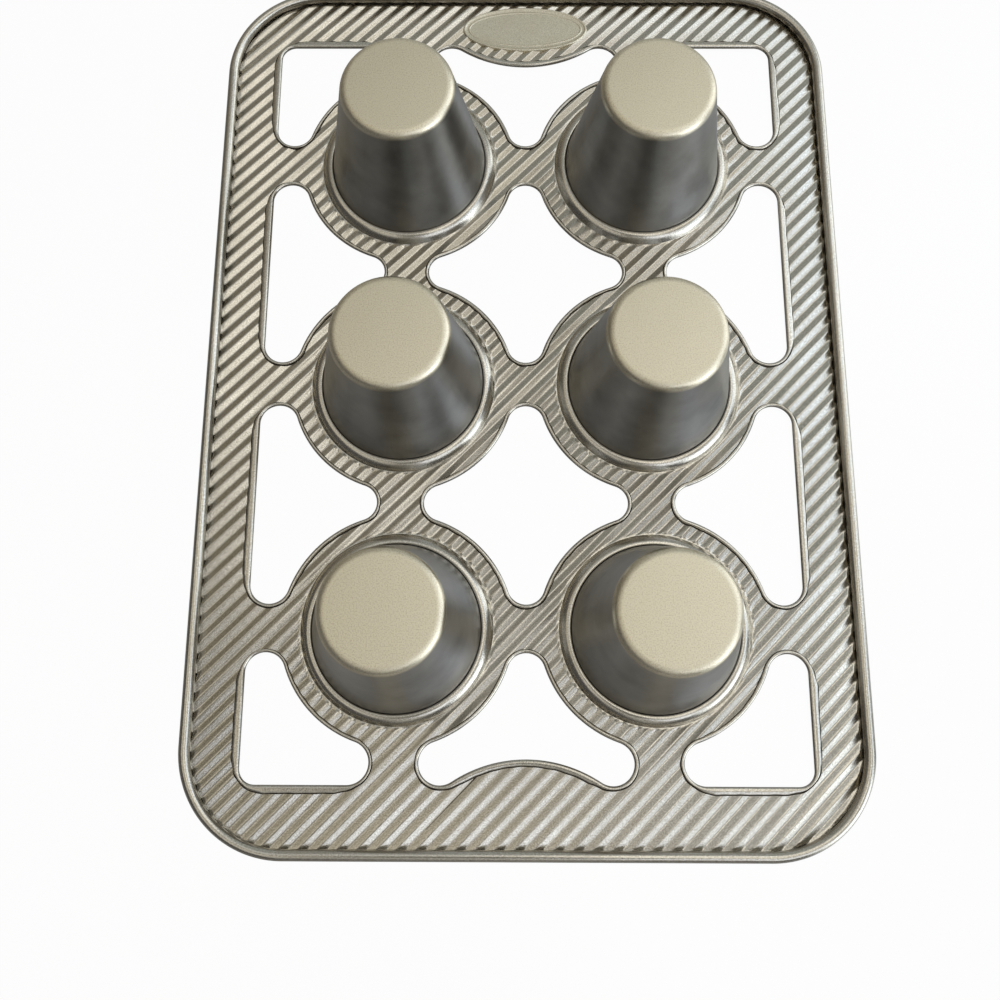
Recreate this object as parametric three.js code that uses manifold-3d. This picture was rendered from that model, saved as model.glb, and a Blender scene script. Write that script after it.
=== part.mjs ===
// Popover pan: six tapered cups set in a fluted, windowed sheet whose edge is rolled over a wire.
// The pan lies face down on its cup lips, so the cup bottoms point up.
// X runs across the pan, Y along it and Z up; the origin is under its middle, on the table.

import * as THREE from 'three';
import { mergeVertices } from 'three/addons/utils/BufferGeometryUtils.js';
import Module from 'manifold-3d';

const wasm = await Module();
wasm.setup();

// Driving dimensions, in millimetres

const PAN_WIDTH = 281;
const PAN_LENGTH = 399;
const PAN_CORNER = 44;

// Cup centres stand on a square grid, two across and three along.
const CUP_PITCH = 107.5;

// Metal thickness, and the clearance kept between touching pieces.
const SHEET = 1;
const CLEARANCE = 0.3;

// Flutes: ridges pressed across the whole sheet at half a right angle to its sides.
// The ridge nearest the middle of the pan passes it at FLUTE_SHIFT.
const FLUTE_PITCH = 5.55;
const FLUTE_DEPTH = 0.8;
const FLUTE_SHIFT = 0.64;
const FLUTE_BEARING = -Math.PI / 4;

// Cup: outer radius where the wall meets the lip and where it would meet the flat bottom.
const CUP_HEIGHT = 62.5;
const CUP_MOUTH_RADIUS = 35.8;
const CUP_BASE_RADIUS = 23.3;
const CUP_BASE_FILLET = 3.2;
const CUP_LIP_RADIUS = 38.2;
const CUP_LIP_BEND = 2;

// Collar: the bead that the sheet is turned up into round each cup.
const COLLAR_RADIUS = 40.6;
const COLLAR_HEIGHT = 3.1;
const COLLAR_CROWN_RADIUS = 37.7;
const COLLAR_SHOULDER = 0.6;
const COLLAR_SHOULDER_WIDTH = 1.2;

// Windows: arcs about the cups, straight outer sides and an arched border at each end.
const WINDOW_ARC = 48.8;
const STRAP_HALF_WIDTH = 10.1;
const WINDOW_EDGE_X = 116;
const WINDOW_EDGE_Y = 170.5;
const WINDOW_CORNER = 6.5;
const ARCH_RISE = 10.3;
const HEM_WIDTH = 2.6;
const HEM_RISE = 0.3;

// Rolled edge: a curl of sheet round the wire, left open by a slot above the plate.
const WIRE_RADIUS = 1;
const CURL_SWEEP = THREE.MathUtils.degToRad(290);

// Oval plaque, plain, between the far end window and the rim.
const PLAQUE_Y = 180.4;
const PLAQUE_RADIUS_X = 29.6;
const PLAQUE_RADIUS_Y = 11.9;
const PLAQUE_BORDER = 0.9;
const PLAQUE_BORDER_RISE = 0.4;

// Fineness of the facets
const CHORD_TOLERANCE = 0.38;
const CUP_SEGMENTS = 24;
const OUTER_EDGE_SEGMENTS = 3;
const INNER_EDGE_SEGMENTS = 1;
const CURL_SEGMENTS = 6;
const WIRE_SIDES = 6;
const WELD_DISTANCE = 1e-4;

// Heights and radii that follow
const HALF_PITCH = CUP_PITCH / 2;
const HALF_FLUTED = (SHEET + FLUTE_DEPTH) / 2;
const PLATE_Z = SHEET + CLEARANCE + HALF_FLUTED;
const FLUTE_TOP = PLATE_Z + HALF_FLUTED;
const CURL_INNER_RADIUS = WIRE_RADIUS + CLEARANCE;
const CURL_RADIUS = CURL_INNER_RADIUS + SHEET;
const CURL_Z = FLUTE_TOP + CURL_INNER_RADIUS;

// The flutes run out under the curl, this far inside the pan's edge.
const FLUTES_END = 0.85 * CURL_RADIUS;

// Windows and cup holes are cut up to here, clear of all that stands on the sheet.
const CUT_TOP = FLUTE_TOP + COLLAR_HEIGHT;

const SHEET_FINISH = { color: 0xb9b2a2, roughness: 0.42, metalness: 0.9 };
const CUP_FINISH = { color: 0xa9a18e, roughness: 0.38, metalness: 0.9 };
const WIRE_FINISH = { color: 0x8c8c88, roughness: 0.5, metalness: 1 };

// Solids and meshes

function solidOf(geometry) {
  const bare = geometry.index ? geometry.toNonIndexed() : geometry.clone();
  bare.deleteAttribute('normal');
  bare.deleteAttribute('uv');
  const merged = mergeVertices(bare, WELD_DISTANCE);
  return new wasm.Manifold(new wasm.Mesh({
    numProp: 3,
    vertProperties: new Float32Array(merged.attributes.position.array),
    triVerts: new Uint32Array(merged.index.array),
  }));
}

function geometryOf(solid) {
  const mesh = solid.getMesh();
  const geometry = new THREE.BufferGeometry();
  geometry.setAttribute('position', new THREE.BufferAttribute(mesh.vertProperties, 3));
  geometry.setIndex(new THREE.BufferAttribute(mesh.triVerts, 1));
  geometry.computeVertexNormals();
  return geometry;
}

function namedMesh(name, geometry, finish) {
  const mesh = new THREE.Mesh(geometry, new THREE.MeshStandardMaterial(finish));
  mesh.name = name;
  return mesh;
}

// A flat slab of the given outline between two heights.
function slab(outline, bottom, top) {
  const shape = new THREE.Shape(outline);
  const geometry = new THREE.ExtrudeGeometry(shape, { depth: top - bottom, bevelEnabled: false });
  geometry.translate(0, 0, bottom);
  return solidOf(geometry);
}

// A closed ring swept round a belt outline: each section point is [offset, height].
function sweptRing(pulleys, section) {
  const loops = section.map(([offset]) => beltOutline(pulleys, offset));
  const around = loops[0].length;
  const positions = [];
  section.forEach(([, height], row) => {
    loops[row].forEach((point) => positions.push(point.x, point.y, height));
  });
  const index = [];
  for (let row = 0; row < section.length; row++) {
    const next = (row + 1) % section.length;
    for (let column = 0; column < around; column++) {
      const right = (column + 1) % around;
      const a = row * around + column;
      const b = row * around + right;
      const c = next * around + right;
      const d = next * around + column;
      index.push(a, b, c, a, c, d);
    }
  }
  const geometry = new THREE.BufferGeometry();
  geometry.setAttribute('position', new THREE.Float32BufferAttribute(positions, 3));
  geometry.setIndex(index);
  return geometry;
}

// A solid turned about Z from a section of [radius, height] points.
function turned(section) {
  const points = section.map(([radius, height]) => new THREE.Vector2(radius, height));
  return new THREE.LatheGeometry(points, CUP_SEGMENTS).rotateX(Math.PI / 2);
}

// Belt outlines: a closed line that runs tangent from pulley to pulley, anticlockwise.
// A pulley with turn 1 is a rounded corner inside the line; one with turn -1 bulges in from outside.

const corner = (x, y, radius) => ({ x, y, radius, turn: 1 });
const bulge = (x, y, radius) => ({ x, y, radius, turn: -1 });

function mirrored(pulleys, signX, signY) {
  const moved = pulleys.map((pulley) => ({ ...pulley, x: signX * pulley.x, y: signY * pulley.y }));
  return signX * signY < 0 ? moved.reverse() : moved;
}

// Bearing of the outward normal along the straight between two pulleys.
function tangentBearing(from, to) {
  const dx = to.x - from.x;
  const dy = to.y - from.y;
  const lead = (from.turn * from.radius - to.turn * to.radius) / Math.hypot(dx, dy);
  return Math.atan2(dy, dx) - Math.acos(THREE.MathUtils.clamp(lead, -1, 1));
}

function beltOutline(pulleys, offset) {
  const points = [];
  pulleys.forEach((pulley, i) => {
    const before = pulleys[(i + pulleys.length - 1) % pulleys.length];
    const after = pulleys[(i + 1) % pulleys.length];
    const start = tangentBearing(before, pulley);
    const turn = pulley.turn * (tangentBearing(pulley, after) - start);
    const sweep = THREE.MathUtils.euclideanModulo(turn, 2 * Math.PI);
    const step = 2 * Math.acos(1 - CHORD_TOLERANCE / pulley.radius);
    const steps = Math.ceil(sweep / step);
    const reach = pulley.turn * pulley.radius + offset;
    const touching = pulley.turn !== before.turn;
    for (let k = touching ? 1 : 0; k <= steps; k++) {
      const bearing = start + pulley.turn * sweep * k / steps;
      points.push(new THREE.Vector2(pulley.x + reach * Math.cos(bearing), pulley.y + reach * Math.sin(bearing)));
    }
  });
  return points;
}

// Window outlines

// Rounded tip between two cups, its point half a strap from the line through them.
const TIP_RADIUS = (STRAP_HALF_WIDTH ** 2 + HALF_PITCH ** 2 - WINDOW_ARC ** 2)
  / (2 * (WINDOW_ARC - STRAP_HALF_WIDTH));

// Rounded tip between a cup and a straight side that lies reach from the cup's centre.
function sideTipRadius(reach) {
  const half = reach - STRAP_HALF_WIDTH + WINDOW_ARC;
  return half - Math.sqrt(half ** 2 - reach ** 2 - STRAP_HALF_WIDTH ** 2 + WINDOW_ARC ** 2);
}

const SIDE_TIP_RADIUS = sideTipRadius(WINDOW_EDGE_X - HALF_PITCH);
const END_TIP_RADIUS = sideTipRadius(WINDOW_EDGE_Y - CUP_PITCH);
const TIP_REACH = STRAP_HALF_WIDTH + TIP_RADIUS;
const SIDE_TIP_REACH = STRAP_HALF_WIDTH + SIDE_TIP_RADIUS;
const END_TIP_REACH = STRAP_HALF_WIDTH + END_TIP_RADIUS;
const SIDE_TIP_X = WINDOW_EDGE_X - SIDE_TIP_RADIUS;
const END_TIP_Y = WINDOW_EDGE_Y - END_TIP_RADIUS;

// Window between four cups, in the far half of the pan.
const middleWindow = [
  corner(HALF_PITCH - TIP_REACH, HALF_PITCH, TIP_RADIUS),
  bulge(HALF_PITCH, CUP_PITCH, WINDOW_ARC),
  corner(0, CUP_PITCH - TIP_REACH, TIP_RADIUS),
  bulge(-HALF_PITCH, CUP_PITCH, WINDOW_ARC),
  corner(TIP_REACH - HALF_PITCH, HALF_PITCH, TIP_RADIUS),
  bulge(-HALF_PITCH, 0, WINDOW_ARC),
  corner(0, TIP_REACH, TIP_RADIUS),
  bulge(HALF_PITCH, 0, WINDOW_ARC),
];

// Window between two cups and the right side.
const sideWindow = [
  corner(SIDE_TIP_X, SIDE_TIP_REACH, SIDE_TIP_RADIUS),
  corner(SIDE_TIP_X, CUP_PITCH - SIDE_TIP_REACH, SIDE_TIP_RADIUS),
  bulge(HALF_PITCH, CUP_PITCH, WINDOW_ARC),
  corner(HALF_PITCH + TIP_REACH, HALF_PITCH, TIP_RADIUS),
  bulge(HALF_PITCH, 0, WINDOW_ARC),
];

// Window in the far right corner.
const cornerWindow = [
  corner(WINDOW_EDGE_X - WINDOW_CORNER, WINDOW_EDGE_Y - WINDOW_CORNER, WINDOW_CORNER),
  corner(HALF_PITCH + END_TIP_REACH, END_TIP_Y, END_TIP_RADIUS),
  bulge(HALF_PITCH, CUP_PITCH, WINDOW_ARC),
  corner(SIDE_TIP_X, CUP_PITCH + SIDE_TIP_REACH, SIDE_TIP_RADIUS),
];

// Window between the far two cups and the end, with the border arched into it.
const LOBE_X = HALF_PITCH - END_TIP_REACH;
const ARCH_DROP = ARCH_RISE - END_TIP_RADIUS;
const ARCH_RADIUS = (LOBE_X ** 2 + ARCH_DROP ** 2 - END_TIP_RADIUS ** 2) / (2 * ARCH_RISE);
const endWindow = [
  corner(LOBE_X, END_TIP_Y, END_TIP_RADIUS),
  bulge(0, WINDOW_EDGE_Y - ARCH_RISE + ARCH_RADIUS, ARCH_RADIUS),
  corner(-LOBE_X, END_TIP_Y, END_TIP_RADIUS),
  bulge(-HALF_PITCH, CUP_PITCH, WINDOW_ARC),
  corner(0, CUP_PITCH + TIP_REACH, TIP_RADIUS),
  bulge(HALF_PITCH, CUP_PITCH, WINDOW_ARC),
];

const windows = [];
for (const signY of [1, -1]) {
  windows.push(mirrored(middleWindow, 1, signY), mirrored(endWindow, 1, signY));
  for (const signX of [1, -1]) {
    windows.push(mirrored(sideWindow, signX, signY), mirrored(cornerWindow, signX, signY));
  }
}

const rim = [];
for (const [signX, signY] of [[1, -1], [1, 1], [-1, 1], [-1, -1]]) {
  rim.push(corner(signX * (PAN_WIDTH / 2 - PAN_CORNER), signY * (PAN_LENGTH / 2 - PAN_CORNER), PAN_CORNER));
}

const cups = [];
for (const [row, y] of [['far', CUP_PITCH], ['middle', 0], ['near', -CUP_PITCH]]) {
  for (const [side, x] of [['left', -HALF_PITCH], ['right', HALF_PITCH]]) {
    cups.push({ name: `cup_${row}_${side}`, x, y });
  }
}

// Cup

const WALL_SLOPE = (CUP_MOUTH_RADIUS - CUP_BASE_RADIUS) / (CUP_HEIGHT - SHEET);
const WALL_LEAN = Math.atan(WALL_SLOPE);
const wallRadius = (height) => CUP_MOUTH_RADIUS - WALL_SLOPE * (height - SHEET);

// Points of the rounded edge between flat bottom and wall, for one face of the metal.
function baseEdge(top, sharpRadius, fillet, steps) {
  const turn = Math.PI / 2 - WALL_LEAN;
  const centreRadius = sharpRadius - fillet * Math.tan(turn / 2);
  const points = [];
  for (let k = 0; k <= steps; k++) {
    const bearing = Math.PI / 2 - turn * k / steps;
    points.push([centreRadius + fillet * Math.cos(bearing), top + fillet * (Math.sin(bearing) - 1)]);
  }
  return points;
}

function cupGeometry() {
  const wall = SHEET / Math.cos(WALL_LEAN);
  const insideTop = CUP_HEIGHT - SHEET;
  const outside = baseEdge(CUP_HEIGHT, CUP_BASE_RADIUS, CUP_BASE_FILLET, OUTER_EDGE_SEGMENTS);
  const insideCorner = wallRadius(insideTop) - wall;
  const inside = baseEdge(insideTop, insideCorner, CUP_BASE_FILLET - SHEET, INNER_EDGE_SEGMENTS);
  return turned([
    [0, insideTop],
    ...inside,
    [wallRadius(CUP_LIP_BEND) - wall, CUP_LIP_BEND],
    [wallRadius(0), 0],
    [CUP_LIP_RADIUS, 0],
    [CUP_LIP_RADIUS, SHEET],
    [wallRadius(SHEET), SHEET],
    ...outside.reverse(),
    [0, CUP_HEIGHT],
  ]);
}

// Frame sheet

// The bead round a cup hole, still filled: a steep foot and a round top.
function collarBoss() {
  const top = PLATE_Z + COLLAR_HEIGHT;
  const shoulder = top - COLLAR_SHOULDER;
  return turned([
    [0, PLATE_Z],
    [COLLAR_RADIUS, PLATE_Z],
    [COLLAR_CROWN_RADIUS + COLLAR_SHOULDER_WIDTH, shoulder],
    [COLLAR_CROWN_RADIUS, top],
    [wallRadius(shoulder) + CLEARANCE, shoulder],
    [0, shoulder],
  ]);
}

// The space that a cup takes up in the sheet, with its clearance.
function cupHole() {
  return turned([
    [0, 0],
    [wallRadius(0) + CLEARANCE, 0],
    [wallRadius(CUT_TOP) + CLEARANCE, CUT_TOP],
    [0, CUT_TOP],
  ]);
}

// The curl of sheet round the wire, from the plate outwards, up and over.
function curlSection() {
  const arc = (radius) => {
    const points = [];
    for (let k = 0; k <= CURL_SEGMENTS; k++) {
      const bearing = CURL_SWEEP * k / CURL_SEGMENTS;
      points.push([radius * Math.sin(bearing) - CURL_RADIUS, CURL_Z - radius * Math.cos(bearing)]);
    }
    return points;
  };
  return [...arc(CURL_RADIUS), ...arc(CURL_INNER_RADIUS).reverse()];
}

// The sheet with its flutes, out to the foot of the curl. The flutes run from near left to far right.
function flutedPlate() {
  const reach = Math.hypot(PAN_WIDTH, PAN_LENGTH) / 2;
  const ridges = Math.ceil(reach / FLUTE_PITCH);
  const upper = [];
  const lower = [];
  for (let k = -2 * ridges; k <= 2 * ridges; k++) {
    const across = k * FLUTE_PITCH / 2;
    const middle = (k % 2 === 0 ? 1 : -1) * FLUTE_DEPTH / 2;
    upper.push(new THREE.Vector2(across, middle + SHEET / 2));
    lower.push(new THREE.Vector2(across, middle - SHEET / 2));
  }
  const wave = new THREE.Shape([...lower, ...upper.reverse()]);
  const fluted = new THREE.ExtrudeGeometry(wave, { depth: 2 * reach, bevelEnabled: false });
  fluted.translate(FLUTE_SHIFT, 0, -reach);
  fluted.rotateX(Math.PI / 2);
  fluted.rotateZ(FLUTE_BEARING);
  fluted.translate(0, 0, PLATE_Z);
  const footprint = slab(beltOutline(rim, -FLUTES_END), 0, CUT_TOP);
  return solidOf(fluted).intersect(footprint);
}

// The oval plaque: a flat field with a narrow raised border.
function plaque() {
  const oval = (inset, bottom) => {
    const curve = new THREE.EllipseCurve(0, PLAQUE_Y, PLAQUE_RADIUS_X - inset, PLAQUE_RADIUS_Y - inset);
    return slab(curve.getPoints(CUP_SEGMENTS).slice(1), bottom, FLUTE_TOP + PLAQUE_BORDER_RISE);
  };
  return oval(0, PLATE_Z).subtract(oval(PLAQUE_BORDER, FLUTE_TOP));
}

function frameSheet() {
  let sheet = flutedPlate().add(solidOf(sweptRing(rim, curlSection())));
  for (const pulleys of windows) {
    sheet = sheet.add(slab(beltOutline(pulleys, HEM_WIDTH), PLATE_Z, FLUTE_TOP + HEM_RISE));
  }
  for (const cup of cups) {
    sheet = sheet.add(solidOf(collarBoss().translate(cup.x, cup.y, 0)));
  }
  sheet = sheet.add(plaque());
  for (const pulleys of windows) {
    sheet = sheet.subtract(slab(beltOutline(pulleys, 0), 0, CUT_TOP));
  }
  for (const cup of cups) {
    sheet = sheet.subtract(solidOf(cupHole().translate(cup.x, cup.y, 0)));
  }
  return geometryOf(sheet);
}

// Rim wire

function rimWire() {
  const section = [];
  for (let side = 0; side < WIRE_SIDES; side++) {
    const bearing = 2 * Math.PI * side / WIRE_SIDES;
    section.push([WIRE_RADIUS * Math.sin(bearing) - CURL_RADIUS, CURL_Z - WIRE_RADIUS * Math.cos(bearing)]);
  }
  return sweptRing(rim, section);
}

// Assembly

const pan = new THREE.Group();
pan.add(namedMesh('frame_sheet', frameSheet(), SHEET_FINISH));
pan.add(namedMesh('rim_wire', rimWire(), WIRE_FINISH));
for (const cup of cups) {
  const mesh = namedMesh(cup.name, cupGeometry(), CUP_FINISH);
  mesh.position.set(cup.x, cup.y, 0);
  pan.add(mesh);
}

export default pan;
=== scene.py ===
# Six-cup popover pan lying face down on its cup lips, so that the cup bottoms point up.
# Lengths are in millimetres until a mesh is made from them.

import math

import bpy
import numpy as np
from mathutils import Matrix, Vector
from mathutils.geometry import delaunay_2d_cdt


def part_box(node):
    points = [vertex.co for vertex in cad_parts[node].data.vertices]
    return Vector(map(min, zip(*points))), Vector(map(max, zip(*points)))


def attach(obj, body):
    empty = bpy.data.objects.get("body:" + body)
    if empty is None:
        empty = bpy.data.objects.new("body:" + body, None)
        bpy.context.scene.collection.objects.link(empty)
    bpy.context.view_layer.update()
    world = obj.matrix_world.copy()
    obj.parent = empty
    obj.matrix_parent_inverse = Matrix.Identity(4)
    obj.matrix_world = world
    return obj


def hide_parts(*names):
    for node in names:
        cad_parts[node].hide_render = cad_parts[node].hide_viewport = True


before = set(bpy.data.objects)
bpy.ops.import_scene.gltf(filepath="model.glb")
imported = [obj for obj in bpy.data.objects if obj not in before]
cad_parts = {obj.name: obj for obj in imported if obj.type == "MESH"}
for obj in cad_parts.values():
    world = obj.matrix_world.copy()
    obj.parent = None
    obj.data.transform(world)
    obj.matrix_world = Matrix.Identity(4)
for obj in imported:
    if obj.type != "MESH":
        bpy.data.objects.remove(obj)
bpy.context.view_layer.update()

MM = 0.001


def box_mm(node):
    """The low and the high corner of a node's box."""
    low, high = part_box(node)
    return np.array(low) / MM, np.array(high) / MM


# Sizes taken from the frame

sheet_low, sheet_high = box_mm("frame_sheet")
cup_boxes = {name: box_mm(name) for name in sorted(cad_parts) if name.startswith("cup_")}
cup_centres = {name: (low + high)[:2] / 2 for name, (low, high) in cup_boxes.items()}
cup_low, cup_high = cup_boxes["cup_far_right"]
HALF_PITCH, CUP_PITCH = cup_centres["cup_far_right"]
CUP_HEIGHT = cup_high[2]
CUP_LIP_RADIUS = (cup_high[0] - cup_low[0]) / 2
HALF_WIDTH = sheet_high[0]
HALF_LENGTH = sheet_high[1]

# Sizes of the pressed sheet

SHEET = 1.0
CLEARANCE = 0.3
PAN_CORNER = 44.0
FLUTE_PITCH = 5.55
FLUTE_DEPTH = 0.8
FLUTE_SHIFT = 0.47
FLUTE_BEARING = math.radians(-44.7)
FLUTE_SHARPNESS = 0.97
PLATE_Z = sheet_low[2] + (SHEET + FLUTE_DEPTH) / 2
FLUTE_TOP = PLATE_Z + (SHEET + FLUTE_DEPTH) / 2

WINDOW_ARC = 48.8
STRAP_HALF_WIDTH = 10.1
WINDOW_EDGE_X = 116.0
WINDOW_EDGE_Y = 170.5
WINDOW_CORNER = 6.5
ARCH_RISE = 10.3

# Hem: the window's edge folded back on the sheet, wide on straight sides and narrow round the tips.
HEM_STRAIGHT = 3.2
HEM_ARCH = 2.6
HEM_ARC = 1.7
HEM_TIP = 1.5
HEM_RISE = 0.3
HEM_RUN = 4
HEM_LEAST_FLAP = 0.3

# Fall of the hem's flap from its fold to the raw edge: (share of the flap, depth below its top).
HEM_FALL = [(0.35, 0.04), (0.7, 0.16), (1.0, 0.5)]

# The raw edge wavers finely and sways slowly. A wave is its turn in radians per millimetre along x and y.
HEM_WAVER = 0.1
HEM_WAVER_WAVES = [(0.9, 0.35), (0.31, -1.13)]
HEM_SWAY = 0.2
HEM_SWAY_WAVES = [(0.07, 0.05), (0.04, -0.08)]

# Groove between the raw edge and the flutes, narrower on the far side of a window than on the near side.
HEM_GROOVE = 0.5
GROOVE_SHARE = 0.65
GROOVE_LEAN = 0.35
GROOVE_DEPTH = 0.45
GROOVE_FLOOR = 0.2

# Bead of the sheet round each cup: (radius, height above the plate) before rounding.
COLLAR_SECTION = [
    (36.2, -0.9), (35.5, 1.4), (35.2, 2.8), (35.5, 3.4), (36.4, 3.45), (37.4, 3.2), (38.6, 2.4),
    (39.6, 1.2), (40.3, 0.2), (41.2, -0.1), (40.8, -0.9),
]
COLLAR_FOOT = 40.2
FLUTE_RUN_OUT = 1.4

WIRE_RADIUS = 1.0
CURL_SWEEP_DEGREES = 303
CURL_INNER_RADIUS = WIRE_RADIUS + CLEARANCE
CURL_RADIUS = CURL_INNER_RADIUS + SHEET
CURL_Z = FLUTE_TOP + CURL_INNER_RADIUS
RIM_FOOT = 4.6
RIM_RUN_OUT = 1.5
RIM_DIP_LEFT = 0.1
RIM_DIP_RIGHT = 1.0

PLAQUE_Y = 180.4
PLAQUE_RADII = np.array([29.6, 11.9])

# Border and finer ridge of the plaque: (inset from its edge, height above the flutes).
PLAQUE_SECTION = [
    (0.0, PLATE_Z - FLUTE_TOP), (0.0, 0.1), (0.25, 0.35), (0.6, 0.4), (0.95, 0.3), (1.25, 0.05), (1.45, 0.0),
    (2.3, 0.0), (2.5, 0.16), (2.8, 0.24), (3.1, 0.16), (3.3, 0.0), (3.6, 0.0),
]

# Overlap of the fluted field with its neighbours
PLAQUE_LAP = 0.5
COLLAR_LAP = 0.4
HEM_LAP = 0.4
CURL_LAP = 0.15 * CURL_RADIUS

# Sizes of a cup

CUP_MOUTH_RADIUS = 35.8
CUP_BASE_RADIUS = 23.3
CUP_BASE_FILLET = 3.7
WALL_SLOPE = (CUP_MOUTH_RADIUS - CUP_BASE_RADIUS) / (CUP_HEIGHT - SHEET)
WALL_LEAN = math.atan(WALL_SLOPE)

# Bend of the lining into the lip: its radius, and its centre's distance from the lining at the height given.
LIP_BEND = 2.0
LIP_BEND_OFFSET = 1.95
LIP_BEND_TOP = 2.2

# Flare of the wall into the lip: (distance outside the wall's line, height).
WALL_FLARE = [(0.4, SHEET), (0.02, 1.6)]

# Fineness of the meshes. A straight run shorter than the least share of a spacing gets no points.

OUTLINE_SPACING = 0.9
LEAST_RUN = 0.01
LINES_PER_FLUTE = 12
LINES_PER_RUN_OUT = 4
TURN_STEPS = 144
ROUND_STEPS = 10
MERGE_DISTANCE = 1e-4
SHARP_ANGLE = math.radians(38)


# Shells: closed surfaces held as (points, faces, finishes).
# A finish is the number of a face's material in its piece. A cup has the plain one alone.

PLAIN_FINISH, SEAM_FINISH, PLAQUE_FINISH = range(3)


def facing_out(points, faces, finishes=None):
    """The shell with its faces turned outwards, all plain where no finishes are given."""
    corners = points[np.array([face[:3] for face in faces])]
    middles = np.array([points[list(face)].mean(axis=0) for face in faces])
    normals = np.cross(corners[:, 1] - corners[:, 0], corners[:, 2] - corners[:, 0])
    if np.sum(normals * middles) < 0:
        faces = [face[::-1] for face in faces]
    if finishes is None:
        finishes = np.full(len(faces), PLAIN_FINISH)
    return points, faces, finishes


def ring_shell(origins, normals, sections, seam_sides=()):
    """A ring that carries the loop sections[k] of (offset, height) along normals[k] from origins[k].

    The sides of the loop whose numbers are in seam_sides get the finish of a seam.
    """
    around, corners = sections.shape[:2]
    points = np.empty((around, corners, 3))
    points[:, :, :2] = origins[:, None, :] + sections[:, :, :1] * normals[:, None, :]
    points[:, :, 2] = sections[:, :, 1]
    faces = []
    for k in range(around):
        here = k * corners
        there = (k + 1) % around * corners
        for c in range(corners):
            after = (c + 1) % corners
            faces.append((here + c, there + c, there + after, here + after))
    in_seam = np.isin(np.arange(corners), seam_sides)
    finishes = np.tile(np.where(in_seam, SEAM_FINISH, PLAIN_FINISH), around)
    return facing_out(points.reshape(-1, 3), faces, finishes)


def circle_directions():
    bearings = np.arange(TURN_STEPS) * 2 * math.pi / TURN_STEPS
    return np.stack([np.cos(bearings), np.sin(bearings)], axis=1)


def turned_ring(centre, section):
    """A ring turned about the upright through centre from a closed loop of (radius, height)."""
    directions = circle_directions()
    origins = np.repeat(np.array([centre]), TURN_STEPS, axis=0)
    sections = np.repeat(np.array([section]), TURN_STEPS, axis=0)
    return ring_shell(origins, directions, sections)


def band(first_row, second_row):
    """Faces between two rows of TURN_STEPS points, given by the number of each row's first point."""
    faces = []
    for k in range(TURN_STEPS):
        after = (k + 1) % TURN_STEPS
        faces.append((first_row + k, first_row + after, second_row + after, second_row + k))
    return faces


def turned_solid(centre, section):
    """A solid turned about the upright through centre; the section starts and ends on the axis."""
    directions = circle_directions()
    rims = np.array(section[1:-1])
    points = [(*centre, section[0][1]), (*centre, section[-1][1])]
    for radius, height in rims:
        points.extend((*(centre + radius * d), height) for d in directions)
    rows = [2 + row * TURN_STEPS for row in range(len(rims))]
    faces = []
    for row, next_row in zip(rows, rows[1:]):
        faces += band(row, next_row)
    for k in range(TURN_STEPS):
        after = (k + 1) % TURN_STEPS
        faces.append((0, rows[0] + after, rows[0] + k))
        faces.append((1, rows[-1] + k, rows[-1] + after))
    return facing_out(np.array(points), faces)


def rounded(loop, passes):
    """A closed loop of points with its corners cut, pass by pass."""
    loop = np.array(loop, float)
    for _ in range(passes):
        after = np.roll(loop, -1, axis=0)
        cut = np.stack([0.75 * loop + 0.25 * after, 0.25 * loop + 0.75 * after], axis=1)
        loop = cut.reshape(-1, 2)
    return loop


def arc(centre, radius, start, end, steps):
    """Points along an arc between two bearings in degrees."""
    bearings = np.linspace(math.radians(start), math.radians(end), steps + 1)
    return [(centre[0] + radius * math.cos(b), centre[1] + radius * math.sin(b)) for b in bearings]


# Belt outlines: closed lines that run tangent from pulley to pulley, anticlockwise.
# A pulley is (x, y, radius, turn, hem); turn 1 is a corner inside the line, -1 a bulge from outside.

def corner(x, y, radius):
    return x, y, radius, 1, HEM_TIP


def bulge(x, y, radius, hem=HEM_ARC):
    return x, y, radius, -1, hem


def mirrored(pulleys, sign_x, sign_y):
    """The pulleys mirrored by the signs, still in anticlockwise order."""
    moved = [(sign_x * x, sign_y * y, *rest) for x, y, *rest in pulleys]
    return moved[::-1] if sign_x * sign_y < 0 else moved


def tangent_bearing(here, there):
    """Bearing of the outward normal on the straight run from one pulley to the next."""
    dx = there[0] - here[0]
    dy = there[1] - here[1]
    lead = (here[3] * here[2] - there[3] * there[2]) / math.hypot(dx, dy)
    return math.atan2(dy, dx) - math.acos(max(-1.0, min(1.0, lead)))


def belt_outline(pulleys):
    """Points along a belt, the outward normals there and the width of hem that each point asks for."""
    points, normals, hems = [], [], []
    for i, (x, y, radius, turn, hem) in enumerate(pulleys):
        after = pulleys[(i + 1) % len(pulleys)]
        start = tangent_bearing(pulleys[i - 1], pulleys[i])
        end = tangent_bearing(pulleys[i], after)
        sweep = turn * (end - start) % (2 * math.pi)
        steps = math.ceil(sweep * radius / OUTLINE_SPACING)
        for k in range(steps):
            bearing = start + turn * sweep * k / steps
            normal = np.array([math.cos(bearing), math.sin(bearing)])
            points.append(np.array([x, y]) + turn * radius * normal)
            normals.append(normal)
            hems.append(hem)
        normal = np.array([math.cos(end), math.sin(end)])
        leave = np.array([x, y]) + turn * radius * normal
        arrive = np.array(after[:2]) + after[3] * after[2] * normal
        pieces = math.ceil(np.linalg.norm(arrive - leave) / OUTLINE_SPACING - LEAST_RUN)
        for k in range(pieces):
            points.append(leave + (arrive - leave) * k / pieces)
            normals.append(normal)
            hems.append(HEM_STRAIGHT)
    return np.array(points), np.array(normals), np.array(hems)


# Window outlines

TIP_RADIUS = (STRAP_HALF_WIDTH**2 + HALF_PITCH**2 - WINDOW_ARC**2) / (2 * (WINDOW_ARC - STRAP_HALF_WIDTH))


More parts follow.
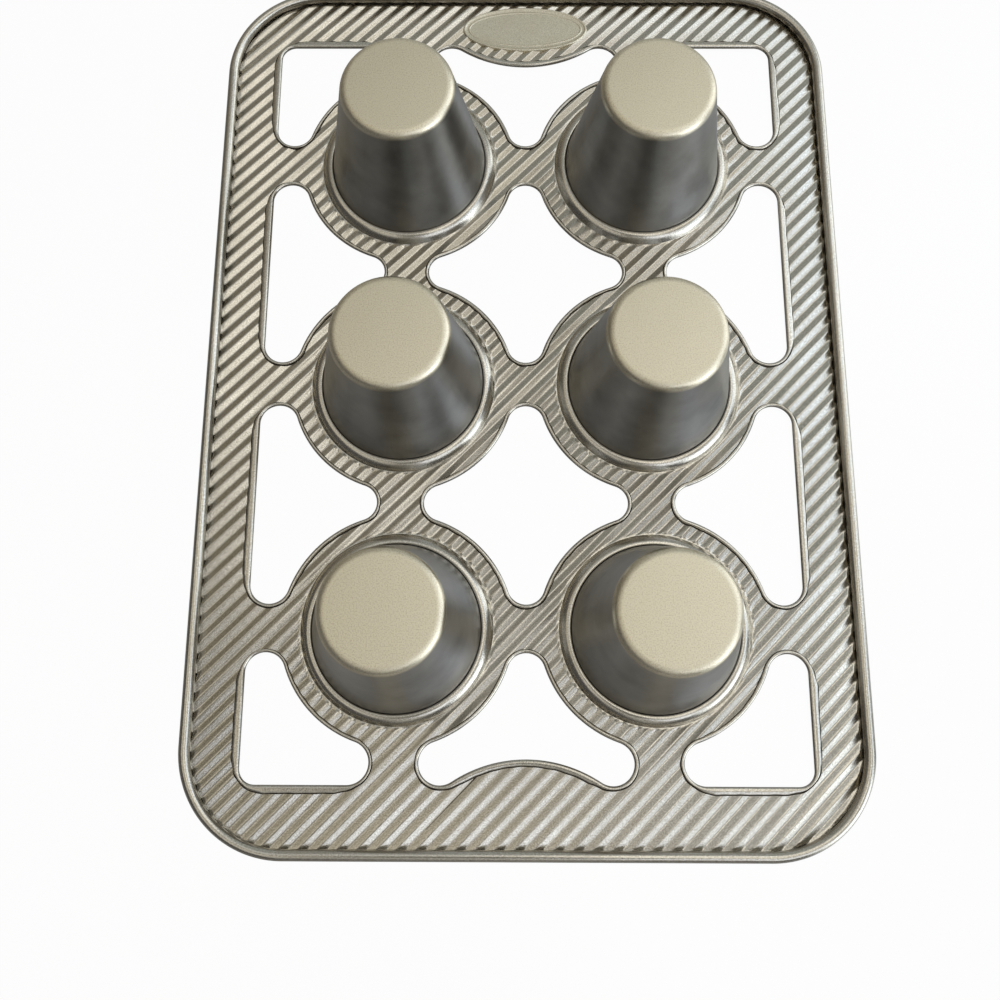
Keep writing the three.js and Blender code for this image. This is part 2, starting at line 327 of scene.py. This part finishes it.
def side_tip_radius(reach):
    """Radius of a tip between a strap, a cup's arc and an edge that lies at reach from the cup's centre."""
    half = reach - STRAP_HALF_WIDTH + WINDOW_ARC
    return half - math.sqrt(half**2 - reach**2 - STRAP_HALF_WIDTH**2 + WINDOW_ARC**2)


SIDE_TIP_RADIUS = side_tip_radius(WINDOW_EDGE_X - HALF_PITCH)
END_TIP_RADIUS = side_tip_radius(WINDOW_EDGE_Y - CUP_PITCH)
TIP_REACH = STRAP_HALF_WIDTH + TIP_RADIUS
SIDE_TIP_REACH = STRAP_HALF_WIDTH + SIDE_TIP_RADIUS
END_TIP_REACH = STRAP_HALF_WIDTH + END_TIP_RADIUS
SIDE_TIP_X = WINDOW_EDGE_X - SIDE_TIP_RADIUS
END_TIP_Y = WINDOW_EDGE_Y - END_TIP_RADIUS

middle_window = [
    corner(HALF_PITCH - TIP_REACH, HALF_PITCH, TIP_RADIUS),
    bulge(HALF_PITCH, CUP_PITCH, WINDOW_ARC),
    corner(0, CUP_PITCH - TIP_REACH, TIP_RADIUS),
    bulge(-HALF_PITCH, CUP_PITCH, WINDOW_ARC),
    corner(TIP_REACH - HALF_PITCH, HALF_PITCH, TIP_RADIUS),
    bulge(-HALF_PITCH, 0, WINDOW_ARC),
    corner(0, TIP_REACH, TIP_RADIUS),
    bulge(HALF_PITCH, 0, WINDOW_ARC),
]
side_window = [
    corner(SIDE_TIP_X, SIDE_TIP_REACH, SIDE_TIP_RADIUS),
    corner(SIDE_TIP_X, CUP_PITCH - SIDE_TIP_REACH, SIDE_TIP_RADIUS),
    bulge(HALF_PITCH, CUP_PITCH, WINDOW_ARC),
    corner(HALF_PITCH + TIP_REACH, HALF_PITCH, TIP_RADIUS),
    bulge(HALF_PITCH, 0, WINDOW_ARC),
]
corner_window = [
    corner(WINDOW_EDGE_X - WINDOW_CORNER, WINDOW_EDGE_Y - WINDOW_CORNER, WINDOW_CORNER),
    corner(HALF_PITCH + END_TIP_REACH, END_TIP_Y, END_TIP_RADIUS),
    bulge(HALF_PITCH, CUP_PITCH, WINDOW_ARC),
    corner(SIDE_TIP_X, CUP_PITCH + SIDE_TIP_REACH, SIDE_TIP_RADIUS),
]
LOBE_X = HALF_PITCH - END_TIP_REACH
ARCH_RADIUS = (LOBE_X**2 + (ARCH_RISE - END_TIP_RADIUS)**2 - END_TIP_RADIUS**2) / (2 * ARCH_RISE)
end_window = [
    corner(LOBE_X, END_TIP_Y, END_TIP_RADIUS),
    bulge(0, WINDOW_EDGE_Y - ARCH_RISE + ARCH_RADIUS, ARCH_RADIUS, HEM_ARCH),
    corner(-LOBE_X, END_TIP_Y, END_TIP_RADIUS),
    bulge(-HALF_PITCH, CUP_PITCH, WINDOW_ARC),
    corner(0, CUP_PITCH + TIP_REACH, TIP_RADIUS),
    bulge(HALF_PITCH, CUP_PITCH, WINDOW_ARC),
]

windows = []
for sign_y in (1, -1):
    windows.append(belt_outline(mirrored(middle_window, 1, sign_y)))
    windows.append(belt_outline(mirrored(end_window, 1, sign_y)))
    for sign_x in (1, -1):
        windows.append(belt_outline(mirrored(side_window, sign_x, sign_y)))
        windows.append(belt_outline(mirrored(corner_window, sign_x, sign_y)))

rim_points, rim_normals, _ = belt_outline([
    corner(sign_x * (HALF_WIDTH - PAN_CORNER), sign_y * (HALF_LENGTH - PAN_CORNER), PAN_CORNER)
    for sign_x, sign_y in ((1, -1), (1, 1), (-1, 1), (-1, -1))
])


# Fluted field of the sheet

FLUTE_ACROSS = np.array([math.cos(FLUTE_BEARING), math.sin(FLUTE_BEARING)])
FLUTE_ALONG = np.array([-math.sin(FLUTE_BEARING), math.cos(FLUTE_BEARING)])


def mean_wave(points, waves):
    x, y = points[:, 0], points[:, 1]
    return sum(np.sin(along_x * x + along_y * y) for along_x, along_y in waves) / len(waves)


def hem_widths(points, hems):
    """Hem width along an outline: it runs from one width to the next gently and the raw edge wavers."""
    softened = np.mean([np.roll(hems, k) for k in range(-HEM_RUN, HEM_RUN + 1)], axis=0)
    waver = HEM_WAVER * mean_wave(points, HEM_WAVER_WAVES)
    sway = HEM_SWAY * mean_wave(points, HEM_SWAY_WAVES)
    return softened + waver + sway


def rim_distance(points):
    """How far inside the pan's outline the points lie."""
    beyond = np.abs(points) - (np.array([HALF_WIDTH, HALF_LENGTH]) - PAN_CORNER)
    outside = np.linalg.norm(np.maximum(beyond, 0), axis=1)
    return PAN_CORNER - outside - np.minimum(beyond.max(axis=1), 0)


def eased(distance, start, length):
    """0 up to the start, rising smoothly to 1 over the length."""
    run = np.clip((distance - start) / length, 0, 1)
    return run * run * (3 - 2 * run)


def flute_height(points):
    """Height of the flutes over the middle of the plate.

    They run out towards the collar of each cup, and dip towards the level of the valleys beside the rolled
    edge, most on the right and at the far end.
    """
    across = points @ FLUTE_ACROSS - FLUTE_SHIFT
    wave = FLUTE_SHARPNESS * np.cos(2 * math.pi * across / FLUTE_PITCH)
    height = FLUTE_DEPTH / 2 * np.arcsin(wave) / math.asin(FLUTE_SHARPNESS)
    for centre in cup_centres.values():
        away = np.linalg.norm(points - centre, axis=1)
        height = height * eased(away, COLLAR_FOOT, FLUTE_RUN_OUT)
    by_rim = 1 - eased(rim_distance(points), RIM_FOOT, RIM_RUN_OUT)
    toward_right = np.clip(0.5 + points @ np.array([0.5 / HALF_WIDTH, 0.5 / HALF_LENGTH]), 0, 1)
    dip = by_rim * (RIM_DIP_LEFT + (RIM_DIP_RIGHT - RIM_DIP_LEFT) * toward_right)
    return height * (1 - dip) - FLUTE_DEPTH / 2 * dip


def oval(inset):
    """Points round the plaque, inset from its edge."""
    return np.array([0, PLAQUE_Y]) + circle_directions() * (PLAQUE_RADII - inset)


def inside(loop, points):
    """Which points lie inside a closed loop, by counting crossings."""
    result = np.zeros(len(points), bool)
    for (ax, ay), (bx, by) in zip(loop, np.roll(loop, -1, axis=0)):
        if ay != by:
            between = (ay > points[:, 1]) != (by > points[:, 1])
            result ^= between & (points[:, 0] < ax + (bx - ax) * (points[:, 1] - ay) / (by - ay))
    return result


def field_loops():
    """The field's outer edge, its holes, and the lines along which its flutes run out."""
    outer = rim_points - (CURL_RADIUS - CURL_LAP) * rim_normals
    holes = [oval(PLAQUE_LAP)]
    for points, normals, hems in windows:
        groove = HEM_GROOVE * (GROOVE_SHARE - GROOVE_LEAN * normals[:, 1])
        reach = hem_widths(points, hems) + groove
        holes.append(points + reach[:, None] * normals)
    run_outs = []
    for inset in np.linspace(RIM_FOOT, RIM_FOOT + RIM_RUN_OUT, LINES_PER_RUN_OUT):
        run_outs.append(rim_points - inset * rim_normals)
    for centre in cup_centres.values():
        holes.append(centre + (COLLAR_FOOT - COLLAR_LAP) * circle_directions())
        for radius in np.linspace(COLLAR_FOOT, COLLAR_FOOT + FLUTE_RUN_OUT, LINES_PER_RUN_OUT):
            run_outs.append(centre + radius * circle_directions())
    return outer, holes, run_outs


def field_triangles():
    """The field seen from above: its points and its triangles, which follow the flutes."""
    outer, holes, run_outs = field_loops()
    flat, edges = [], []
    for loop in [outer, *holes, *run_outs]:
        first = len(flat)
        flat.extend(loop)
        edges.extend((first + k, first + (k + 1) % len(loop)) for k in range(len(loop)))
    reach = math.hypot(HALF_WIDTH, HALF_LENGTH)
    spacing = FLUTE_PITCH / LINES_PER_FLUTE
    lines = math.ceil(reach / spacing)
    for k in range(-lines, lines + 1):
        middle = (FLUTE_SHIFT + k * spacing) * FLUTE_ACROSS
        first = len(flat)
        flat.extend([middle - reach * FLUTE_ALONG, middle + reach * FLUTE_ALONG])
        edges.append((first, first + 1))
    places = [Vector(p) for p in flat]
    verts, _, triangles, *_ = delaunay_2d_cdt(places, edges, [], 0, MERGE_DISTANCE, False)

    flat = np.array([v[:] for v in verts])
    triangles = np.array(list(triangles))
    middles = flat[triangles].mean(axis=1)
    kept = inside(outer, middles)
    for hole in holes:
        kept &= ~inside(hole, middles)
    used, triangles = np.unique(triangles[kept], return_inverse=True)
    return flat[used], triangles.reshape(-1, 3)


def open_sides(triangles):
    """The sides of triangles that no neighbour shares."""
    sides = {}
    for a, b, c in triangles:
        for start, end in ((a, b), (b, c), (c, a)):
            if (end, start) in sides:
                del sides[end, start]
            else:
                sides[start, end] = True
    return list(sides)


def field_shell():
    """The fluted sheet with its thickness, cut out at the windows, cups and plaque."""
    flat, triangles = field_triangles()
    height = PLATE_Z + flute_height(flat)
    top = np.column_stack([flat, height + SHEET / 2])
    bottom = np.column_stack([flat, height - SHEET / 2])
    count = len(flat)
    faces = [tuple(t) for t in triangles]
    faces += [tuple(t[::-1] + count) for t in triangles]
    faces += [(end, start, start + count, end + count) for start, end in open_sides(triangles)]
    return facing_out(np.vstack([top, bottom]), faces)


# Hems, collars, rolled edge and plaque

def hem_shell(points, normals, hems):
    """A folded hem with a rounded fold towards the window and a raw edge standing in a narrow groove."""
    top = FLUTE_TOP + HEM_RISE
    bottom = sheet_low[2]
    fold = (top - bottom) / 2
    groove = PLATE_Z - GROOVE_DEPTH
    bend = arc((fold, bottom + fold), fold, 270, 90, ROUND_STEPS)
    sections = []
    for width in hem_widths(points, hems):
        reach = max(width, fold + HEM_LEAST_FLAP)
        flap = [(fold + share * (reach - fold), top - fall) for share, fall in HEM_FALL]
        beyond = reach + HEM_GROOVE + HEM_LAP
        sections.append(bend + flap + [
            (reach, groove), (beyond, groove), (beyond, groove - GROOVE_FLOOR), (fold + GROOVE_FLOOR, bottom),
        ])
    # The raw edge's face and the groove floor beside it take the seam's painted shade.
    raw_edge = len(bend) + len(HEM_FALL) - 1
    return ring_shell(points, normals, np.array(sections), seam_sides=(raw_edge, raw_edge + 1))


def curl_shell():
    """The sheet's edge rolled over the wire, from the plate outwards, up and over."""
    end = CURL_SWEEP_DEGREES - 90
    centre = (-CURL_RADIUS, CURL_Z)
    section = arc(centre, CURL_RADIUS, -90, end, 4 * ROUND_STEPS)
    section += arc(centre, CURL_INNER_RADIUS, end, -90, 2 * ROUND_STEPS)
    sections = np.repeat(np.array([section]), len(rim_points), axis=0)
    return ring_shell(rim_points, rim_normals, sections)


def collar_shell(centre):
    """The bead of sheet round a cup."""
    section = rounded(COLLAR_SECTION, passes=3) + np.array([0, PLATE_Z])
    return turned_ring(centre, section)


def plaque_shell():
    """The bare oval plaque: a flat field inside a rounded border and a finer ridge."""
    loops = []
    for inset, rise in PLAQUE_SECTION:
        loops.append(np.column_stack([oval(inset), np.full(TURN_STEPS, FLUTE_TOP + rise)]))
    rows = [row * TURN_STEPS for row in range(len(loops))]
    faces = []
    for row, next_row in zip(rows, rows[1:]):
        faces += band(row, next_row)
    faces.append(tuple(range(rows[-1], rows[-1] + TURN_STEPS)))
    faces.append(tuple(range(TURN_STEPS))[::-1])
    return facing_out(np.vstack(loops), faces, np.full(len(faces), PLAQUE_FINISH))


# Cup

def wall_radius(height):
    """Radius of the cup's outer face."""
    return CUP_MOUTH_RADIUS - WALL_SLOPE * (height - SHEET)


def base_edge(top, sharp_radius, fillet):
    """The rounded edge between the cup's flat bottom and its wall, which would meet at sharp_radius."""
    turn = math.pi / 2 - WALL_LEAN
    centre = (sharp_radius - fillet * math.tan(turn / 2), top - fillet)
    return arc(centre, fillet, 90, math.degrees(WALL_LEAN), ROUND_STEPS)


def cup_shell(centre):
    """A drawn cup: the lining from the bottom down to the lip, then the outer face back up."""
    wall = SHEET / math.cos(WALL_LEAN)
    inside_top = CUP_HEIGHT - SHEET
    outside = base_edge(CUP_HEIGHT, CUP_BASE_RADIUS, CUP_BASE_FILLET)
    lining = base_edge(inside_top, wall_radius(inside_top) - wall, CUP_BASE_FILLET - SHEET)
    bend_centre = (wall_radius(LIP_BEND_TOP) - wall + LIP_BEND_OFFSET, LIP_BEND)
    bend = arc(bend_centre, LIP_BEND, 180, 270, ROUND_STEPS)
    lip_edge = arc((CUP_LIP_RADIUS - SHEET / 2, SHEET / 2), SHEET / 2, -90, 90, ROUND_STEPS)
    flare = [(wall_radius(height) + out, height) for out, height in WALL_FLARE]
    section = [(0, inside_top), *lining, *bend, *lip_edge, *flare, *outside[::-1], (0, CUP_HEIGHT)]
    return turned_solid(centre, section)


# Pieces

def make_piece(name, shells, materials, slot, *nodes):
    """One mesh of the shells that stands in for the nodes; the finishes number the materials."""
    points, faces, finishes = [], [], []
    first = 0
    for shell_points, shell_faces, shell_finishes in shells:
        points.append(shell_points)
        faces.extend(tuple(int(i) + first for i in face) for face in shell_faces)
        finishes.append(shell_finishes)
        first += len(shell_points)
    mesh = bpy.data.meshes.new(name)
    mesh.from_pydata((np.vstack(points) * MM).tolist(), [], faces)
    mesh.shade_smooth()
    mesh.set_sharp_from_angle(angle=SHARP_ANGLE)
    for material in materials:
        mesh.materials.append(material)
    mesh.polygons.foreach_set("material_index", np.concatenate(finishes))
    piece = bpy.data.objects.new(name, mesh)
    bpy.context.scene.collection.objects.link(piece)
    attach(piece, "root")
    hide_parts(*nodes)


# Materials

class Graph:
    """A node tree that is filled node by node; an input is a value or another node's output."""

    def __init__(self, tree):
        self.tree = tree
        tree.nodes.clear()

    def feed(self, socket, value):
        if isinstance(value, bpy.types.NodeSocket):
            self.tree.links.new(value, socket)
        else:
            socket.default_value = value

    def add(self, kind, inputs=None, **settings):
        node = self.tree.nodes.new(kind)
        for name, value in settings.items():
            setattr(node, name, value)
        for name, value in (inputs or {}).items():
            self.feed(node.inputs[name], value)
        return node

    def maths(self, operation, *values):
        return self.add("ShaderNodeMath", dict(enumerate(values)), operation=operation).outputs["Value"]

    def height(self, place):
        return self.add("ShaderNodeSeparateXYZ", {"Vector": place}).outputs["Z"]

    def noise(self, place, grain, detail):
        """Noise whose features are about grain millimetres wide."""
        inputs = {"Vector": place, "Scale": 1 / (grain * MM), "Detail": detail}
        return self.add("ShaderNodeTexNoise", inputs).outputs["Fac"]

    def ranged(self, value, low, high, to_low, to_high):
        inputs = {"Value": value, "From Min": low, "From Max": high, "To Min": to_low, "To Max": to_high}
        return self.add("ShaderNodeMapRange", inputs).outputs["Result"]

    def mixed(self, share, first, second):
        node = self.add("ShaderNodeMix", data_type="RGBA")
        self.feed(node.inputs[0], share)
        self.feed(node.inputs[6], first)
        self.feed(node.inputs[7], second)
        return node.outputs[2]

    def shaded(self, value, low, high, first, second):
        """A colour that runs from first to second as the value runs from low to high."""
        return self.mixed(self.ranged(value, low, high, 0, 1), first, second)

    def bump(self, height, depth, normal=None):
        inputs = {"Height": height, "Distance": depth * MM, "Strength": 1.0}
        if normal is not None:
            inputs["Normal"] = normal
        return self.add("ShaderNodeBump", inputs).outputs["Normal"]


def colour(red, green, blue):
    return red, green, blue, 1.0


def new_material(name):
    """A material, its empty graph and the place on the piece."""
    material = bpy.data.materials.new(name)
    material.use_nodes = True
    graph = Graph(material.node_tree)
    place = graph.add("ShaderNodeTexCoord").outputs["Object"]
    return material, graph, place


def finish_material(graph, inputs):
    shader = graph.add("ShaderNodeBsdfPrincipled", inputs)
    graph.add("ShaderNodeOutputMaterial", {"Surface": shader.outputs["BSDF"]})


def sideways(graph, low, high):
    """How far a face stands upright: 1 where its normal is level, 0 where it looks up or down."""
    normal = graph.add("ShaderNodeNewGeometry").outputs["Normal"]
    steep = graph.maths("ABSOLUTE", graph.height(normal))
    return graph.ranged(steep, low, high, 1, 0)


def sheet_steel():
    """Satin sheet: strong grain, faint blotches, and painted shade that darkens its steep faces, such as the
    sides of the rolled edge, the hems and the collars.
    """
    material, graph, place = new_material("sheet_steel")
    grain = graph.noise(place, 0.5, 2.0)
    blotch = graph.noise(place, 16.0, 4.0)
    drawn = graph.add("ShaderNodeMapping", {
        "Vector": place, "Rotation": (0, 0, FLUTE_BEARING), "Scale": (1, 30, 1),
    }, vector_type="TEXTURE").outputs["Vector"]
    streak = graph.noise(drawn, 0.9, 2.0)
    tone = graph.shaded(grain, 0.32, 0.68, colour(0.58, 0.53, 0.44), colour(0.90, 0.85, 0.74))
    tone = graph.mixed(graph.ranged(blotch, 0.35, 0.7, 0, 0.35), tone, colour(0.66, 0.60, 0.49))
    # Painted shade: faces that stand steep are darkened towards dark brown, more where the blotches are
    # stronger.
    steep_shade_strength = graph.ranged(blotch, 0.3, 0.7, 0.55, 0.9)
    painted_steep_shade = graph.maths("MULTIPLY", steep_shade_strength, sideways(graph, 0.25, 0.75))
    tone = graph.mixed(painted_steep_shade, tone, colour(0.14, 0.125, 0.1))
    finish_material(graph, {
        "Base Color": tone,
        "Metallic": 1.0,
        "Roughness": graph.ranged(blotch, 0.3, 0.7, 0.18, 0.26),
        "Normal": graph.bump(grain, 0.024, graph.bump(streak, 0.03, graph.bump(blotch, 0.12))),
    })
    return material


def seam_painted_shade():
    """Painted shade: a dark film in the groove along the raw edge of a hem, where shade falls."""
    material, graph, place = new_material("seam_painted_shade")
    patch = graph.noise(place, 1.5, 4.0)
    finish_material(graph, {
        "Base Color": graph.shaded(patch, 0.3, 0.7, colour(0.05, 0.04, 0.03), colour(0.17, 0.14, 0.1)),
        "Metallic": 0.3,
        "Roughness": graph.ranged(patch, 0.3, 0.7, 0.75, 0.5),
        "Normal": graph.bump(patch, 0.05),
    })
    return material


def plaque_steel():
    """Matt pressed metal of the plaque."""
    material, graph, place = new_material("plaque_steel")
    grain = graph.noise(place, 0.5, 2.0)
    blotch = graph.noise(place, 9.0, 3.0)
    tone = graph.shaded(grain, 0.3, 0.65, colour(0.72, 0.64, 0.47), colour(1.0, 0.94, 0.76))
    tone = graph.mixed(graph.ranged(blotch, 0.4, 0.7, 0, 0.3), tone, colour(0.7, 0.62, 0.47))
    finish_material(graph, {
        "Base Color": tone,
        "Metallic": 1.0,
        "Roughness": graph.ranged(blotch, 0.3, 0.7, 0.42, 0.52),
        "Normal": graph.bump(grain, 0.024, graph.bump(blotch, 0.04)),
    })
    return material


def cup_steel():
    """Cup metal: pale and granular on the flat bottom, smoother down the wall, where a darker tone is painted
    shade for the dark surroundings that the wall mirrors.
    """
    material, graph, place = new_material("cup_steel")
    grain = graph.noise(place, 0.5, 2.0)
    blotch = graph.noise(place, 14.0, 4.0)
    level = graph.add("ShaderNodeMapping", {"Vector": place, "Scale": (16, 16, 1)}, vector_type="TEXTURE")
    ring = graph.noise(level.outputs["Vector"], 3.0, 2.0)
    height = graph.height(place)

    def near_bottom(deep, shallow):
        """Runs from 0 to 1 between two depths below the face of the cup's bottom, which lies on top."""
        return graph.ranged(height, (CUP_HEIGHT - deep) * MM, (CUP_HEIGHT - shallow) * MM, 0, 1)

    pale = graph.shaded(grain, 0.27, 0.57, colour(0.8, 0.68, 0.475), colour(1.0, 0.91, 0.695))
    # Painted shade: the wall's darker tone stands in for the dark surroundings that it mirrors.
    dark = graph.shaded(blotch, 0.3, 0.7, colour(0.285, 0.277, 0.256), colour(0.4, 0.388, 0.362))
    rough_bottom = graph.ranged(grain, 0.3, 0.7, 0.44, 0.56)
    rough_wall = graph.ranged(blotch, 0.3, 0.7, 0.29, 0.37)
    rough = graph.add("ShaderNodeMix", {"Factor": near_bottom(1.1, 0.1), "A": rough_wall, "B": rough_bottom})
    finish_material(graph, {
        "Base Color": graph.mixed(near_bottom(3.4, 1.6), dark, pale),
        "Metallic": 1.0,
        "Roughness": rough.outputs["Result"],
        "Normal": graph.bump(grain, 0.05, graph.bump(ring, 0.08, graph.bump(blotch, 0.1))),
    })
    return material


def wire_steel():
    """Drawn wire, dull and finely scored."""
    material, graph, place = new_material("wire_steel")
    score = graph.noise(place, 0.25, 4.0)
    finish_material(graph, {
        "Base Color": graph.mixed(score, colour(0.34, 0.33, 0.31), colour(0.52, 0.51, 0.48)),
        "Metallic": 1.0,
        "Roughness": graph.ranged(score, 0.3, 0.7, 0.4, 0.6),
        "Normal": graph.bump(score, 0.02),
    })
    return material


cup_material = cup_steel()

sheet_shells = [field_shell(), curl_shell(), plaque_shell()]
sheet_shells += [hem_shell(*window) for window in windows]
sheet_shells += [collar_shell(centre) for centre in cup_centres.values()]
sheet_materials = [sheet_steel(), seam_painted_shade(), plaque_steel()]
make_piece("fluted_sheet", sheet_shells, sheet_materials, "sheet_steel", "frame_sheet")
for name, centre in cup_centres.items():
    make_piece(name + "_body", [cup_shell(centre)], [cup_material], "cup_steel", name)

wire_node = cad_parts["rim_wire"]
wire_node.data.materials.clear()
wire_node.data.materials.append(wire_steel())


# Floor, light and camera

# Share of plain white in what the camera and the metal see of the floor and of the world behind it.
# The rest is the floor's lit paint with the shadow, or the light itself.
SEEN_WHITE = 0.97
MIRRORED_WHITE = 0.08

FLOOR_HALF = 4000.0
FLOOR_DROP = 0.05


def white_share(graph):
    """The share of plain white for a ray from the camera and for a mirrored one, and none for other rays."""
    path = graph.add("ShaderNodeLightPath").outputs
    from_metal = graph.maths("MAXIMUM", path["Is Glossy Ray"], path["Is Transmission Ray"])
    mirrored_share = graph.maths("MULTIPLY", from_metal, MIRRORED_WHITE)
    seen_share = graph.maths("MULTIPLY", path["Is Camera Ray"], SEEN_WHITE)
    return graph.maths("MAXIMUM", seen_share, mirrored_share)


def floor():
    """A white floor that keeps the pan's soft shadow."""
    half = FLOOR_HALF * MM
    low = -FLOOR_DROP * MM
    corners = [(-half, -half, low), (half, -half, low), (half, half, low), (-half, half, low)]
    mesh = bpy.data.meshes.new("floor")
    mesh.from_pydata(corners, [], [(0, 1, 2, 3)])
    material = bpy.data.materials.new("floor")
    material.use_nodes = True
    graph = Graph(material.node_tree)
    matt = graph.add("ShaderNodeBsdfDiffuse", {"Color": colour(0.15, 0.15, 0.15)})
    sheen = graph.add("ShaderNodeBsdfGlossy", {"Color": colour(0.9, 0.9, 0.9), "Roughness": 0.3})
    paint = graph.add("ShaderNodeMixShader", {0: 0.6, 1: matt.outputs[0], 2: sheen.outputs[0]})
    glow = graph.add("ShaderNodeEmission", {"Color": colour(1, 1, 1), "Strength": 1.0})
    mix = graph.add("ShaderNodeMixShader", {0: white_share(graph), 1: paint.outputs[0], 2: glow.outputs[0]})
    graph.add("ShaderNodeOutputMaterial", {"Surface": mix.outputs[0]})
    mesh.materials.append(material)
    ground = bpy.data.objects.new("floor", mesh)
    bpy.context.scene.collection.objects.link(ground)


def studio_light():
    """Soft patches of light on a dark surround, each laid over the ones before it."""
    world = bpy.data.worlds.new("studio")
    world.use_nodes = True
    graph = Graph(world.node_tree)
    direction = graph.add("ShaderNodeTexCoord").outputs["Generated"]

    def lobe(axis, edge, core):
        """1 within core degrees of the axis, falling smoothly to 0 at edge degrees."""
        toward = graph.add("ShaderNodeVectorMath", {
            0: direction, 1: Vector(axis).normalized(),
        }, operation="DOT_PRODUCT").outputs["Value"]
        return graph.add("ShaderNodeMapRange", {
            "Value": toward,
            "From Min": math.cos(math.radians(edge)),
            "From Max": math.cos(math.radians(core)),
        }, interpolation_type="SMOOTHSTEP").outputs["Result"]

    side = graph.add("ShaderNodeSeparateXYZ", {"Vector": direction}).outputs["X"]
    panel = graph.shaded(side, 0.0, 0.6, colour(1.8, 1.71, 1.53), colour(1.17, 1.355, 1.62))
    dim = graph.shaded(side, -0.6, -0.05, colour(0.115, 0.096, 0.059), colour(0.255, 0.28, 0.286))
    fill = graph.shaded(side, -0.45, -0.25, colour(0.5, 0.438, 0.334), colour(0.438, 0.458, 0.48))
    patches = [
        # Dim far half, and the near side
        ((0.1, 0.75, 0.65), 65, 47, dim),
        ((-0.15, -0.785, 0.6), 36, 15, colour(0.32, 0.32, 0.309)),
        # Overhead on the left, with the dark low beside it and a weak fill straight above
        ((-0.36, -0.38, 0.85), 20, 6, colour(0.58, 0.57, 0.53)),
        ((-0.47, 0.09, 0.88), 23, 9, colour(0.544, 0.512, 0.431)),
        ((-0.62, -0.77, 0.15), 40, 22, colour(0, 0, 0)),
        ((-0.18, 0.27, 0.945), 19, 6, fill),
        # Broad panel overhead on the right with a weaker middle, and a dark gap above the near end
        ((0.535, 0.085, 0.84), 36.5, 20, panel),
        ((0.41, 0.13, 0.903), 18, 6.5, colour(0.56, 0.53, 0.465)),
        ((-0.02, -0.45, 0.89), 13.5, 5, colour(0.043, 0.038, 0.022)),
        # Cool panel on the near right, with a dark gap between it and the broad one
        ((0.36, -0.585, 0.727), 21, 6, colour(1.14, 1.225, 1.386)),
        ((0.46, -0.2, 0.863), 17, 3, colour(0.23, 0.219, 0.202)),
        # Cool light from low on the right, stronger at the near end
        ((0.82, -0.48, 0.3), 27, 10, colour(2.14, 2.33, 2.56)),
        ((0.86, 0.42, 0.2), 27, 12, colour(1.435, 1.543, 1.652)),
    ]
    glow = colour(0, 0, 0)
    for axis, edge, core, light in patches:
        glow = graph.mixed(lobe(axis, edge, core), glow, light)
    glow = graph.mixed(white_share(graph), glow, colour(1, 1, 1))
    background = graph.add("ShaderNodeBackground", {"Color": glow, "Strength": 1.0})
    graph.add("ShaderNodeOutputWorld", {"Surface": background.outputs[0]})
    bpy.context.scene.world = world


def camera():
    """The photograph's view: nearly straight down from above the near end."""
    place = Vector((-8.46, -155.56, 429.9)) * MM
    tilt = math.radians(76.43)
    yaw = math.radians(1.46)
    roll = math.radians(-1.257)
    turn = Matrix.Rotation(yaw, 3, "Z")
    forward = turn @ Vector((0, math.cos(tilt), -math.sin(tilt)))
    level_up = turn @ Vector((0, math.sin(tilt), math.cos(tilt)))
    level_right = turn @ Vector((1, 0, 0))
    right = math.cos(roll) * level_right + math.sin(roll) * level_up
    up = math.cos(roll) * level_up - math.sin(roll) * level_right
    pose = Matrix((right, up, -forward)).transposed().to_4x4()
    pose.translation = place
    lens = bpy.data.cameras.new("camera")
    lens.sensor_width = 36.0
    lens.lens = 36.93
    lens.clip_start = 0.01
    view = bpy.data.objects.new("camera", lens)
    view.matrix_world = pose
    bpy.context.scene.collection.objects.link(view)
    bpy.context.scene.camera = view


floor()
studio_light()
camera()
bpy.context.scene.view_settings.view_transform = "Standard"
